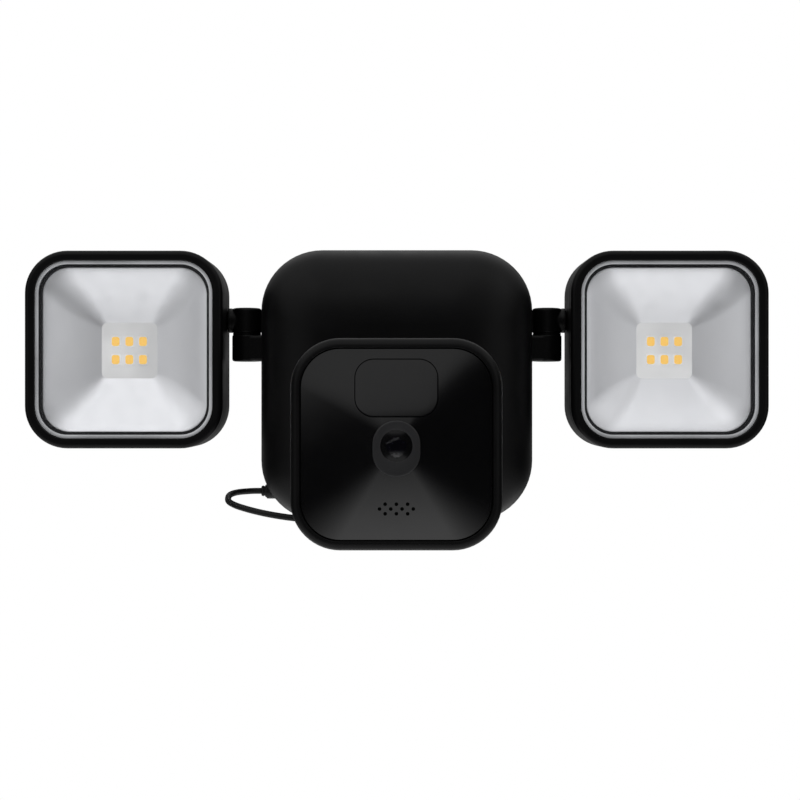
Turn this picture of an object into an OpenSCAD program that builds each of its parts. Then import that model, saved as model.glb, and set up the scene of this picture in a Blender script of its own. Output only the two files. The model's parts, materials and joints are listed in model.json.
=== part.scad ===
// Floodlight security camera: a square battery hub on a wall plate, with two square lamps
// on arms at its sides and a small square camera on a ball mount at its front.
// X runs to the viewer's right, Z up, and the front faces -Y. The wall is the plane y = 0,
// and the origin is the middle of the wall plate's back face. Lengths are in millimetres.

/* [Hub] */
// Width and height of the hub
hub_w = 102; // [101:0.5:104]
// Distance from the wall to the hub's front face
hub_d = 82; // [82:0.5:84]
// Radius of the hub's corners, seen from the front
hub_r = 23; // [22:0.5:24]
// Radius of the soft edge round the hub's front
hub_edge = 20; // [18:0.5:20]
// Thickness of the hub's walls
hub_wall = 2.4; // [2.2:0.1:2.6]

/* [Wall plate] */
// Width and height of the wall plate
plate_w = 82; // [80:1:84]
// Distance between the wall screws, both ways
screw_pitch = 66; // [62:1:68]
// Diameter of the wall screw holes
screw_hole_d = 4.5; // [4:0.1:5.5]

/* [Lamps] */
// Distance between the lamps' outer sides
overall_w = 280; // [276:1:290]
// Width and height of a lamp
lamp_w = 74.5; // [73:0.5:76]
// Radius of a lamp's corners, seen from the front
lamp_r = 16; // [15:0.5:17]
// Height of the lamps' centres above the hub's centre
lamp_z = 13.6; // [12:0.1:15]
// Distance from the wall to the front of a lamp's bezel
lamp_front = 64; // [64:0.5:66]
// Width of the bezel round the lens
bezel_w = 3.3; // [3:0.1:3.6]
// Width of the square window in the reflector where the LEDs sit
led_window_w = 21.4; // [20:0.1:22]
// Distance between LED columns
led_pitch_x = 5.1; // [4.8:0.1:5.4]
// Distance between LED rows
led_pitch_z = 6.9; // [6.5:0.1:7.2]

/* [Arms] */
// Distance from the middle of the hub to each arm's upright pivot
pivot_x = 58; // [57.8:0.1:58.5]
// Distance from the wall to the pivots and the tilt axis
pivot_depth = 46; // [45:0.5:47]
// Height of the tilt axis
arm_z = 25.3; // [25:0.1:26]
// Diameter of the knuckle barrels
barrel_d = 11.4; // [11:0.1:11.6]

/* [Camera] */
// Width and height of the camera
cam_w = 71; // [70:0.5:72]
// Radius of the camera's corners, seen from the front
cam_r = 16.7; // [16:0.1:17.5]
// Height of the camera's centre, below the hub's centre
cam_z = -20.2; // [-21:0.1:-19]
// Distance from the wall to the front of the camera's rim
cam_front = 130; // [129:0.5:131]
// Thickness of the camera, front to back
cam_t = 31; // [31:0.5:32]
// Radius of the mounting ball
ball_r = 6.5; // [6:0.1:6.5]

/* [Lead] */
// Diameter of the camera's power lead
lead_d = 2.3; // [2:0.1:2.6]

/* [Hidden] */
$fn = 48;
eps = 0.01;
run_gap = 0.05; // radial clearance of a pin or ball that turns
left = -1;
right = 1;

// Levels of the hub from the wall forwards
plate_t = 4;
web_t = 2;
cover_back = 5;
cover_front = 7.5;
seal_front = 8.5;
ledge_front = 10;
ledge_w = 84;
ledge_r = 14;
shell_back = 0.6;
frame_front = 59;
corner_steps = 10;
cover_gap = 0.4;
cover_w = hub_w - 2 * hub_wall - 2 * cover_gap;
cover_r = hub_r - hub_wall - cover_gap;
boss_at = 39;
boss_r = 3.2;
cover_screw_r = 1.4;

// Hooks that hang the rear cover on the wall plate
hook_x = 22;
hook_w = 10;
hook_z = [7, 16];
neck_z = 12;
hook_drop = 5;
lock_y = -2.7;
lock_r = 1.2;
lock_head_r = 1.9;
lug_bottom = -46.5;

// Cells and their holder
cell_r = 16.9;
cell_len = 61.5;
cell_pitch = 34.3;
cell_rear = cover_front + 0.4 + cell_r;
bay_half = 34.4;
holder_wall = 1.8;
holder_half_w = 35.6;
holder_front = 77.5;
contact_t = 0.5;
cell_shift = bay_half - contact_t - cell_len / 2;
spring_len = 2 * (bay_half - contact_t) - cell_len;
spring_turns = 3;
spring_wire = 0.9;
board_z = 40;
board_t = 1.6;
board_y = -40;
board_screw_at = [26, 14];

// Knuckles and arms
barrel_r = barrel_d / 2;
knuckle_z = [9.5, 19.7];
washer_t = 0.75;
arm_half = 4.8;
bar_r = 4.6;
pin_r = 2;
pin_head_r = 3.3;
pin_head = [9.8, 11.4];
pin_shoulder = 11.7;
tail_r = 4;
tail_x = 45;
spigot_r = 3.5;
spigot_end = 8.75;
tilt_screw_r = 1.3;
side_gap = 0.3;

// Lamp, measured from its own centre and from the wall
lamp_x = (overall_w - lamp_w) / 2;
lamp_half = lamp_w / 2;
lamp_back = 34;
lamp_back_edge = 6;
lamp_wall = 2.5;
bezel_back = 58.5;
lens_front = 62.5;
lens_t = 1.8;
lens_w = lamp_w - 2 * bezel_w + 1.2;
seal_t = 0.8;
seal_outer_w = 64.6;
seal_inner_w = 62;
reflector_w = 61.2;
reflector_front = lens_front - lens_t - seal_t;
board_front = 50;
led_board_w = 30;
sink_w = 44;
sink_front = board_front - 1.6;
sink_back = sink_front - 2.5;
fin_back = 38.5;
lamp_screw_at = 25.5;
spigot_boss_r = 7;
spigot_boss_end = 8.05;

// Camera
cam_back = cam_front - cam_t;
cam_split = cam_back + 6;
cam_wall = 2.2;
cam_edge = 2.6;
cam_back_edge = 6;
fascia_w = cam_w - 6.7;
fascia_front = cam_front - 0.4;
fascia_back = cam_front - 2;
front_wall_back = fascia_back - 1.6;
pir_size = [27.7, 19.3];
pir_r = 6.35;
pir_z = cam_z + 18.8;
lens_z = cam_z - 0.5;
lens_r = 5.3;
surround_r = 8;
surround_z = [cam_z - 2.8, cam_z];
speaker_z = cam_z - 21.5;
hole_pitch_x = 3.75;
hole_pitch_z = 1.6;
grille_hole_r = 0.6;
ball_y = -(hub_d + 8);
flange_r = 8.8;
stem_r = 3.4;
board_at = 121.2;
cam_board_t = 1.4;
aa_r = 7;
aa_len = 50.5;
aa_x = 15;
aa_y = -113;
back_screw_z = -48.2;

// The lead's route from the gland to the plug, and what holds its two ends
gland_tip = [-51.5, -55.5, -40];
plug_tip = [-24.5, -95, -47.8];
lead_route = [
    gland_tip, [-54.5, -55.8, -40], [-57.3, -57.1, -40.1], [-59.6, -59.5, -40.2],
    [-61.2, -62.8, -40.4], [-62.1, -66.8, -40.7], [-62.3, -71.2, -41.1], [-62, -75.7, -41.6],
    [-61.4, -80, -42.2], [-60, -84, -42.8], [-57.6, -87.6, -43.5], [-54.2, -90.5, -44.3],
    [-50, -92.7, -45.2], [-45.2, -94.1, -46.1], [-40, -94.8, -46.9], [-34.8, -95, -47.5],
    [-29.6, -95, -47.8], plug_tip
];
gland_r = 3;
plug_len = 13.5;
plug_h = 7.2;
plug_d = [92.6, 98.9];
port_x = plug_tip[0] + 7;

// Colours
black = "#17181a";
grey_black = "#232426";
rubber = "#101011";
steel = "#b9bcc0";
brass = "#c9a24b";
board_green = "#1f5a37";
silver = "#cfd3d6";
clear = "#dfe8ee";
amber = "#ffc24f";
cell_blue = "#3c4a5c";
dark_glass = "#08090b";

// ---------------------------------------------------------------- helpers

// Rectangle with rounded corners about the origin, from two bars and four discs
module round_square(w, h, r) {
    square([w - 2 * r, h], center = true);
    square([w, h - 2 * r], center = true);
    for (sx = [left, right], sz = [-1, 1])
        translate([sx * (w / 2 - r), sz * (h / 2 - r)])
            circle(r);
}

// Flat plate facing -Y between two distances from the wall, with rounded corners
module slab(x, z, near, far, w, h, r) {
    translate([x, -near, z])
        rotate([90, 0, 0])
            linear_extrude(far - near)
                round_square(w, h, r);
}

// Square block facing -Y whose front edge is rounded by front_edge and back edge by back_edge
module soft_block(x, z, near, far, w, r, front_edge, back_edge) {
    hull() {
        for (a = [0 : 15 : front_edge > 0 ? 90 : 0])
            let (inset = front_edge * (1 - cos(a)), at = far - front_edge * (1 - sin(a)))
                slab(x, z, at - eps, at, w - 2 * inset, w - 2 * inset, r - inset, $fn = 40);
        for (a = [0 : 15 : back_edge > 0 ? 90 : 0])
            let (inset = back_edge * (1 - cos(a)), at = near + back_edge * (1 - sin(a)))
                slab(x, z, at, at + eps, w - 2 * inset, w - 2 * inset, r - inset, $fn = 40);
    }
}

// Cylinder along Y between two distances from the wall
module rod_y(x, z, near, far, r) {
    translate([x, -near, z])
        rotate([90, 0, 0])
            cylinder(h = far - near, r = r);
}

// Cylinder along X between two places
module rod_x(x0, x1, y, z, r) {
    translate([min(x0, x1), y, z])
        rotate([0, 90, 0])
            cylinder(h = abs(x1 - x0), r = r);
}

// Cylinder along Z between two heights
module rod_z(x, y, z0, z1, r) {
    translate([x, y, z0])
        cylinder(h = z1 - z0, r = r);
}

// Box between two corners
module block(low, high) {
    translate(low)
        cube(high - low);
}

// Repeats its children at the four corners of a square about (x, z)
module at_corners(x, z, half) {
    for (sx = [left, right], sz = [-1, 1])
        translate([x + sx * half, 0, z + sz * half])
            children();
}

function unit(v) = v / norm(v);

function tangent(p, i) = unit(p[min(i + 1, len(p) - 1)] - p[max(i - 1, 0)]);

function ring(centre, t, r, n) =
    let (s = unit(cross([0, 0, 1], t)), u = cross(t, s))
    [for (k = [0 : n - 1]) centre + r * (cos(360 * k / n) * s + sin(360 * k / n) * u)];

// Round tube of n sides along the points p
module tube(p, r, n) {
    rings = len(p);
    sides = [
        for (i = [0 : rings - 2], k = [0 : n - 1])
            [i * n + k, i * n + (k + 1) % n, (i + 1) * n + (k + 1) % n, (i + 1) * n + k]
    ];
    first = [for (k = [n - 1 : -1 : 0]) k];
    last = [for (k = [0 : n - 1]) (rings - 1) * n + k];
    polyhedron([for (i = [0 : rings - 1]) each ring(p[i], tangent(p, i), r, n)],
        concat(sides, [first, last]));
}

// ---------------------------------------------------------------- hub and wall plate

module wall_plate() {
    color(grey_black)
        difference() {
            union() {
                slab(0, 0, 0, plate_t, plate_w, plate_w, 12);
                block([-6, -plate_t, lug_bottom], [6, 0, -plate_w / 2 + 2]);
            }
            at_corners(0, 0, screw_pitch / 2) {
                rod_y(0, 0, -1, plate_t + 1, screw_hole_d / 2);
                rod_y(0, 0, web_t, plate_t + 1, 4.4);
            }
            for (s = [left, right]) {
                block([s * hook_x - hook_w / 2 - 1, -plate_t - 1, neck_z - 0.5],
                    [s * hook_x + hook_w / 2 + 1, 1, hook_z[1] + hook_drop + 6]);
                block([s * hook_x - hook_w / 2 - 1, -web_t, hook_z[0] - 1],
                    [s * hook_x + hook_w / 2 + 1, 1, neck_z]);
            }
            slab(0, -14, -1, plate_t + 1, 44, 20, 6);
            rod_z(0, lock_y, lug_bottom - 1, -38, lock_r);
        }
}

module plate_lock_screw() {
    color(steel)
        difference() {
            union() {
                rod_z(0, lock_y, -hub_w / 2 + 1.2, -40, lock_r);
                rod_z(0, lock_y, -hub_w / 2, -hub_w / 2 + 1.2, lock_head_r);
            }
            block([-1.2, lock_y - 0.3, -hub_w / 2 - 1], [1.2, lock_y + 0.3, -hub_w / 2 + 0.6]);
        }
}

// Deep frame with the side walls, from the wall to where the front shell begins
module hub_frame() {
    inner_w = hub_w - 2 * hub_wall;
    inner_r = hub_r - hub_wall;
    color(black)
        difference() {
            union() {
                difference() {
                    slab(0, 0, shell_back, frame_front, hub_w, hub_w, hub_r);
                    slab(0, 0, ledge_front, frame_front + 1, inner_w, inner_w, inner_r);
                    slab(0, 0, shell_back - 1, seal_front, inner_w, inner_w, inner_r);
                    slab(0, 0, seal_front - 1, ledge_front + 1, ledge_w, ledge_w, ledge_r);
                }
                at_corners(0, 0, boss_at)
                    rod_y(0, 0, seal_front, 26, boss_r);
                for (s = [left, right], t = [-1, 1])
                    rod_z(s * board_screw_at[0], board_y + t * board_screw_at[1],
                        board_z + board_t, hub_w / 2 - 1, 3);
            }
            at_corners(0, 0, boss_at)
                rod_y(0, 0, seal_front - 1, 24, cover_screw_r);
            for (s = [left, right], t = [-1, 1])
                rod_z(s * board_screw_at[0], board_y + t * board_screw_at[1],
                    board_z, hub_w / 2 - hub_wall - 1, 1.1);
            rod_z(0, lock_y, -hub_w / 2 - 1, -hub_w / 2 + 4, lock_r + 0.2);
            rod_z(0, lock_y, -hub_w / 2 - 1, -hub_w / 2 + 1.2, lock_head_r + 0.1);
            for (s = [left, right])
                rod_x(s * (hub_w / 2 - 4), s * (hub_w / 2 + 1), -pivot_depth,
                    (knuckle_z[0] + knuckle_z[1]) / 2, tail_r);
            rod_x(-hub_w / 2 - 5, -38, gland_tip[1], gland_tip[2], gland_r);
        }
}

// One ring of points round a square of this half width and corner radius, facing -Y
function square_ring(half, r, far) = [
    for (q = [0 : 3], k = [0 : corner_steps])
        let (a = 90 * (q + k / corner_steps), c = half - r)
        [(q == 0 || q == 3 ? c : -c) + r * cos(a), -far, (q < 2 ? c : -c) + r * sin(a)]
];

// The rings of one skin of the front shell, from the frame forwards over the soft edge
function skin_rings(half, r, edge, front) = [
    each square_ring(half, r, frame_front),
    for (a = [0 : 15 : 90])
        let (inset = edge * (1 - cos(a)))
        each square_ring(half - inset, r - inset, front - edge * (1 - sin(a)))
];

// Domed front shell, which closes the frame: an outer and an inner skin with a rim between
module hub_front() {
    n = 4 * (corner_steps + 1);
    outer = skin_rings(hub_w / 2, hub_r, hub_edge, hub_d);
    inner = skin_rings(hub_w / 2 - hub_wall, hub_r - hub_wall, hub_edge - hub_wall,
        hub_d - hub_wall);
    o = len(outer);
    last = o - n;
    outer_faces = [
        for (i = [0 : n : last - n], k = [0 : n - 1])
            let (m = (k + 1) % n)
            [i + k, i + n + k, i + n + m, i + m]
    ];
    inner_faces = [for (f = outer_faces) [for (k = [3 : -1 : 0]) f[k] + o]];
    rim = [for (k = [0 : n - 1]) let (m = (k + 1) % n) [k, m, o + m, o + k]];
    caps = [[for (k = [n - 1 : -1 : 0]) last + k], [for (k = [0 : n - 1]) o + last + k]];
    color(black)
        polyhedron(concat(outer, inner), concat(outer_faces, inner_faces, rim, caps));
}

module rear_cover() {
    color(black)
        difference() {
            union() {
                slab(0, 0, cover_back, cover_front, cover_w, cover_w, cover_r);
                for (s = [left, right]) {
                    block([s * hook_x - hook_w / 2, -cover_back - 1, neck_z],
                        [s * hook_x + hook_w / 2, -0.5, hook_z[1]]);
                    block([s * hook_x - hook_w / 2, -web_t + 0.2, hook_z[0]],
                        [s * hook_x + hook_w / 2, -0.5, hook_z[1]]);
                }
            }
            at_corners(0, 0, boss_at) {
                rod_y(0, 0, cover_back - 1, cover_front + 1, cover_screw_r + 0.2);
                rod_y(0, 0, cover_back - 1, cover_back + 1.2, 3.1);
            }
        }
}

module rear_cover_seal() {
    color(rubber)
        difference() {
            slab(0, 0, cover_front, seal_front, cover_w - 0.6, cover_w - 0.6, cover_r - 0.3);
            slab(0, 0, cover_front - 1, seal_front + 1, ledge_w + 1, ledge_w + 1, ledge_r + 0.5);
            at_corners(0, 0, boss_at)
                rod_y(0, 0, cover_front - 1, seal_front + 1, boss_r);
        }
}

module rear_cover_screws() {
    color(steel)
        at_corners(0, 0, boss_at)
            difference() {
                union() {
                    rod_y(0, 0, cover_back + 1.2, 22, cover_screw_r);
                    rod_y(0, 0, cover_back - 0.6, cover_back + 1.2, 2.9);
                }
                block([-1.6, -cover_back - 0.2, -0.4], [1.6, -cover_back + 1, 0.4]);
                block([-0.4, -cover_back - 0.2, -1.6], [0.4, -cover_back + 1, 1.6]);
            }
}

// ---------------------------------------------------------------- cells and electronics

module battery_holder() {
    half_z = bay_half + holder_wall;
    mid_y = -(cell_rear + cell_pitch);
    color(grey_black)
        difference() {
            union() {
                block([-holder_half_w, mid_y - 4, -half_z], [holder_half_w, -cover_front - 1, half_z]);
                block([-holder_half_w + 8, -holder_front, -half_z],
                    [holder_half_w - 8, mid_y, half_z]);
            }
            block([-cell_pitch, mid_y, -bay_half], [cell_pitch, 0, bay_half]);
            for (s = [left, right])
                rod_z(s * cell_pitch / 2, mid_y, -bay_half, bay_half, cell_r + 0.1);
        }
}

// One D cell; up is 1 with its button at the top and -1 with it at the bottom
module d_cell(side, row, up) {
    color(cell_blue)
        translate([side * cell_pitch / 2, -(cell_rear + row * cell_pitch), up * cell_shift])
            rotate([up > 0 ? 0 : 180, 0, 0]) {
                translate([0, 0, -cell_len / 2])
                    cylinder(h = cell_len - 1.5, r = cell_r);
                translate([0, 0, cell_len / 2 - 1.5 - eps])
                    cylinder(h = 1.5 + eps, r = 4.75);
            }
}

function cell_up(side, row) = side * (row == 0 ? 1 : -1);

module cell_springs() {
    steps = 14 * spring_turns;
    top = spring_len - spring_wire;
    color(steel)
        for (s = [left, right], row = [0, 1])
            translate([s * cell_pitch / 2, -(cell_rear + row * cell_pitch), 0])
                rotate([cell_up(s, row) > 0 ? 0 : 180, 0, 0])
                    translate([0, 0, -bay_half + contact_t + spring_wire / 2])
                        tube([
                            for (i = [0 : steps])
                                let (a = 360 * spring_turns * i / steps, r = 6.5 - 2.5 * i / steps)
                                [r * cos(a), r * sin(a), top * i / steps]
                        ], spring_wire / 2, 6);
}

module cell_contacts() {
    color(brass)
        for (s = [left, right], row = [0, 1], t = [-1, 1])
            let (x = s * cell_pitch / 2, y = -(cell_rear + row * cell_pitch))
                block([x - 8, y - 8, t * bay_half - (t > 0 ? contact_t : 0)],
                    [x + 8, y + 8, t * bay_half + (t > 0 ? 0 : contact_t)]);
}

module controller_board() {
    color(board_green)
        difference() {
            block([-32, board_y - 25, board_z], [32, board_y + 25, board_z + board_t]);
            for (s = [left, right], t = [-1, 1])
                rod_z(s * board_screw_at[0], board_y + t * board_screw_at[1],
                    board_z - 1, board_z + 3, 1.4);
        }
    color(rubber) {
        block([-9, board_y - 9, board_z + board_t], [7, board_y + 7, board_z + board_t + 1.6]);
        block([12, board_y - 8, board_z + board_t], [20, board_y + 2, board_z + board_t + 3]);
        rod_z(-18, board_y - 4, board_z + board_t, board_z + board_t + 5, 3.5);
    }
}

module board_screws() {
    color(steel)
        for (s = [left, right], t = [-1, 1])
            translate([s * board_screw_at[0], board_y + t * board_screw_at[1], 0]) {
                rod_z(0, 0, board_z, hub_w / 2 - hub_wall - 2, 1.1);
                rod_z(0, 0, board_z - 1.3, board_z, 2.2);
            }
}

// ---------------------------------------------------------------- ball mount and lead

module ball_socket() {
    color(black)
        difference() {
            union() {
                rod_y(0, cam_z, hub_d, hub_d + 2.2, 14);
                rod_y(0, cam_z, hub_d + 1, -ball_y + 2.5, 9.6);
            }
            translate([0, ball_y, cam_z])
                rotate([90, 0, 0])
                    sphere(ball_r + run_gap);
        }
}

module mount_ball() {
    color(grey_black)
        translate([0, ball_y, cam_z])
            sphere(ball_r);
}

module ball_stem() {
    color(black)
        difference() {
            union() {
                rod_y(0, cam_z, -ball_y + ball_r - 1.6, cam_back, stem_r);
                rod_y(0, cam_z, cam_back - 0.6, cam_back + 1.6, flange_r);
            }
            translate([0, ball_y, cam_z])
                rotate([90, 0, 0])
                    sphere(ball_r + run_gap);
        }
}

module lead_gland() {
    color(rubber) {
        rod_x(gland_tip[0] + 2, -42.5, gland_tip[1], gland_tip[2], gland_r);
        translate(gland_tip)
            rotate([0, 90, 0])
                cylinder(h = 2, r1 = 1.9, r2 = 2.6);
    }
}

module usb_lead() {
    color(rubber)
        tube(lead_route, lead_d / 2, 8);
}

module usb_plug() {
    x = plug_tip[0];
    z = plug_tip[2];
    color(rubber) {
        translate([x + plug_len / 2 + 0.5, 0, z])
            slab(0, 0, plug_d[0], plug_d[1], plug_len - 1, plug_h, 1.6);
        rod_x(x, x + 3, plug_tip[1], z, 2.2);
    }
    color(steel)
        slab(port_x, z, plug_d[1], 103.5, 6.8, 2.4, 0.6);
}

// ---------------------------------------------------------------- knuckles and arms

module knuckle(s) {
    color(black)
        difference() {
            union() {
                rod_z(s * pivot_x, -pivot_depth, knuckle_z[0], knuckle_z[1], barrel_r);
                block([min(s * hub_w / 2, s * pivot_x), -pivot_depth - barrel_r, knuckle_z[0]],
                    [max(s * hub_w / 2, s * pivot_x), -pivot_depth + barrel_r, knuckle_z[1]]);
                rod_x(s * tail_x, s * (hub_w / 2 + 1), -pivot_depth,
                    (knuckle_z[0] + knuckle_z[1]) / 2, tail_r);
            }
            rod_z(s * pivot_x, -pivot_depth, knuckle_z[0] - 1, knuckle_z[1] + 1, pin_r + run_gap);
            rod_z(s * pivot_x, -pivot_depth, knuckle_z[0] - 1, pin_shoulder, pin_head_r + 0.3);
        }
}

module left_knuckle() {
    knuckle(left);
}

module right_knuckle() {
    knuckle(right);
}

module friction_washers() {
    color(steel)
        for (s = [left, right])
            difference() {
                rod_z(s * pivot_x, -pivot_depth, knuckle_z[1], knuckle_z[1] + washer_t, 5.4);
                rod_z(s * pivot_x, -pivot_depth, knuckle_z[1] - 1, knuckle_z[1] + 2, pin_r + 0.3);
            }
}

module arm(s) {
    lamp_side = s * (lamp_x - lamp_half - side_gap);
    spigot_tip = s * (lamp_x - lamp_half + spigot_end);
    color(black)
        difference() {
            union() {
                rod_z(s * pivot_x, -pivot_depth, arm_z - arm_half, arm_z + arm_half, barrel_r);
                rod_x(s * pivot_x, lamp_side, -pivot_depth, arm_z, bar_r);
                rod_x(s * pivot_x, spigot_tip, -pivot_depth, arm_z, spigot_r);
            }
            rod_z(s * pivot_x, -pivot_depth, arm_z - arm_half - 1, arm_z + 2.2, pin_r);
            rod_x(s * (lamp_x - lamp_half + 0.5), spigot_tip + s, -pivot_depth, arm_z, tilt_screw_r);
        }
}

module left_arm() {
    arm(left);
}

module right_arm() {
    arm(right);
}

module pivot_pin(s) {
    color(steel) {
        rod_z(s * pivot_x, -pivot_depth, pin_head[1] - eps, arm_z + 2, pin_r);
        rod_z(s * pivot_x, -pivot_depth, pin_head[0], pin_head[1], pin_head_r);
    }
}

module left_pivot_pin() {
    pivot_pin(left);
}

module right_pivot_pin() {
    pivot_pin(right);
}

module tilt_screw(s) {
    side = lamp_x - lamp_half;
    color(steel) {
        rod_x(s * (side + 1), s * (side + spigot_end + eps), -pivot_depth, arm_z, tilt_screw_r);
        rod_x(s * (side + spigot_end), s * (side + spigot_end + 1.6), -pivot_depth, arm_z, 4.8);
    }
}

module left_tilt_screw() {
    tilt_screw(left);
}

module right_tilt_screw() {
    tilt_screw(right);
}

// ---------------------------------------------------------------- lamps

module housing(s) {
    side = lamp_x - lamp_half;
    color(black)
        difference() {
            union() {
                difference() {
                    soft_block(s * lamp_x, lamp_z, lamp_back, bezel_back, lamp_w, lamp_r,
                        0, lamp_back_edge);
                    slab(s * lamp_x, lamp_z, lamp_back + lamp_wall, bezel_back + 1,
                        lamp_w - 2 * lamp_wall, lamp_w - 2 * lamp_wall, lamp_r - lamp_wall);
                }
                rod_x(s * (side + 1), s * (side + spigot_boss_end), -pivot_depth, arm_z,
                    spigot_boss_r);
                at_corners(s * lamp_x, lamp_z, lamp_screw_at)
                    rod_y(0, 0, lamp_back + 1, 41.8, 3.6);
            }
            rod_x(s * (side - 1), s * (side + spigot_boss_end + 1), -pivot_depth, arm_z,
                spigot_r + run_gap);
            at_corners(s * lamp_x, lamp_z, lamp_screw_at) {
                rod_y(0, 0, lamp_back - 1, 43, 1.4);
                rod_y(0, 0, lamp_back - 1, lamp_back + 2.6, 2.8);
            }
        }
}

module bezel(s) {
    opening = lamp_w - 2 * bezel_w;
    color(black)
        difference() {
            soft_block(s * lamp_x, lamp_z, bezel_back, lamp_front, lamp_w, lamp_r, 1.6, 0);
            slab(s * lamp_x, lamp_z, bezel_back - 1, lamp_front + 1, opening, opening,
                lamp_r - bezel_w);
            slab(s * lamp_x, lamp_z, bezel_back - 1, lens_front, lens_w + 0.4, lens_w + 0.4,
                lamp_r - bezel_w + 0.8);
        }
}

module lens(s) {
    color(clear, 0.4)
        slab(s * lamp_x, lamp_z, lens_front - lens_t, lens_front, lens_w, lens_w,
            lamp_r - bezel_w + 0.6);
}

module lens_seal(s) {
    color(rubber)
        difference() {
            slab(s * lamp_x, lamp_z, reflector_front, reflector_front + seal_t,
                seal_outer_w, seal_outer_w, 11.5);
            slab(s * lamp_x, lamp_z, reflector_front - 1, reflector_front + seal_t + 1,
                seal_inner_w, seal_inner_w, 10.2);
        }
}

// Four-sided funnel between the lens and the LED board, narrower by shrink all round
module funnel(s, shrink) {
    hull() {
        slab(s * lamp_x, lamp_z, reflector_front - eps, reflector_front,
            reflector_w - 2 * shrink, reflector_w - 2 * shrink, 10 - shrink, $fn = 40);
        slab(s * lamp_x, lamp_z, board_front, board_front + eps,
            led_window_w - 2 * shrink, led_window_w - 2 * shrink, 2.6 - shrink, $fn = 40);
    }
}

module reflector(s) {
    color(silver)
        difference() {
            union() {
                slab(s * lamp_x, lamp_z, reflector_front - 1, reflector_front, 68.6, 68.6, 13);
                funnel(s, -1);
                at_corners(s * lamp_x, lamp_z, lamp_screw_at)
                    rod_y(0, 0, 42, reflector_front - 2.6, 3);
            }
            funnel(s, 0);
            slab(s * lamp_x, lamp_z, reflector_front - 0.01, reflector_front + 1,
                reflector_w, reflector_w, 10);
            slab(s * lamp_x, lamp_z, board_front - 1, board_front + 0.02,
                led_window_w, led_window_w, 2.6);
            at_corners(s * lamp_x, lamp_z, lamp_screw_at)
                rod_y(0, 0, 41, 50, 1.1);
        }
}

module led_board(s) {
    color("#e9ebec")
        slab(s * lamp_x, lamp_z, sink_front, board_front, led_board_w, led_board_w, 2);
}

module leds(s) {
    color(amber)
        for (i = [-1 : 1], j = [-0.5, 0.5])
            slab(s * lamp_x + i * led_pitch_x, lamp_z + j * led_pitch_z,
                board_front, board_front + 0.7, 3.4, 3.9, 0.4);
}

module heat_sink(s) {
    color("#a9adb1") {
        slab(s * lamp_x, lamp_z, sink_back, sink_front, sink_w, sink_w, 3);
        for (i = [-3 : 3])
            block([s * lamp_x + i * 6.4 - 0.75, -sink_back - eps, lamp_z - sink_w / 2 + 3],
                [s * lamp_x + i * 6.4 + 0.75, -fin_back, lamp_z + sink_w / 2 - 3]);
    }
}

module lamp_screws(s) {
    color(steel)
        at_corners(s * lamp_x, lamp_z, lamp_screw_at)
            difference() {
                union() {
                    rod_y(0, 0, lamp_back + 2.6, 48, 1.1);
                    rod_y(0, 0, lamp_back + 0.8, lamp_back + 2.6, 2.6);
                }
                block([-1.5, -lamp_back - 1.8, -0.35], [1.5, -lamp_back, 0.35]);
                block([-0.35, -lamp_back - 1.8, -1.5], [0.35, -lamp_back, 1.5]);
            }
}

module left_housing() {
    housing(left);
}

module left_bezel() {
    bezel(left);
}

module left_lens() {
    lens(left);
}

module left_lens_seal() {
    lens_seal(left);
}

module left_reflector() {
    reflector(left);
}

module left_led_board() {
    led_board(left);
}

module left_leds() {
    leds(left);
}

module left_heat_sink() {
    heat_sink(left);
}

module left_lamp_screws() {
    lamp_screws(left);
}

module right_housing() {
    housing(right);
}

module right_bezel() {
    bezel(right);
}

module right_lens() {
    lens(right);
}

module right_lens_seal() {
    lens_seal(right);
}

module right_reflector() {
    reflector(right);
}

module right_led_board() {
    led_board(right);
}

module right_leds() {
    leds(right);
}

module right_heat_sink() {
    heat_sink(right);
}

module right_lamp_screws() {
    lamp_screws(right);
}

// ---------------------------------------------------------------- camera

module camera_back() {
    color(black)
        difference() {
            union() {
                difference() {
                    soft_block(0, cam_z, cam_back, cam_split, cam_w, cam_r, 0, cam_back_edge);
                    slab(0, cam_z, cam_back + cam_wall, cam_split + 1, cam_w - 2 * cam_wall - 6,
                        cam_w - 2 * cam_wall - 6, cam_r - cam_wall - 3);
                }
                rod_y(0, cam_z, cam_back + 1, cam_back + 3.6, flange_r + 2);
            }
            rod_y(0, cam_z, cam_back - 1, cam_back + 1.6, flange_r);
            slab(port_x, plug_tip[2], cam_back - 1, cam_split + 1, 7.6, 3.2, 1);
            rod_y(0, back_screw_z, cam_back - 1, cam_split + 1, 1.4);
            rod_y(0, back_screw_z, cam_back - 1, cam_back + 1.2, 2.7);
        }
}

module camera_body() {
    inner_w = cam_w - 2 * cam_wall;
    color(black)
        difference() {
            union() {
                difference() {
                    soft_block(0, cam_z, cam_split, cam_front, cam_w, cam_r, cam_edge, 0);
                    slab(0, cam_z, cam_split - 1, front_wall_back, inner_w, inner_w,
                        cam_r - cam_wall);
                }
                block([-3.5, -118, cam_z - cam_w / 2 + 1], [3.5, -cam_split, back_screw_z + 3.2]);
            }
            slab(0, cam_z, fascia_back, cam_front + 1, fascia_w + 0.1, fascia_w + 0.1, cam_r - 3.3);
            slab(0, pir_z, front_wall_back - 1, fascia_back + 1, 23, 15, 5);
            rod_y(0, lens_z, front_wall_back - 1, fascia_back + 1, 5.7);
            rod_y(0, speaker_z, front_wall_back - 1, fascia_back + 1, 6.2);
            rod_y(0, back_screw_z, cam_split - 1, 115, 1.2);
        }
}

// Outline of the plate round the lens: two discs and the bar between them
module surround_outline(r) {
    for (z = surround_z)
        translate([0, z])
            circle(r);
    translate([-r, surround_z[0]])
        square([2 * r, surround_z[1] - surround_z[0]]);
}

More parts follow.
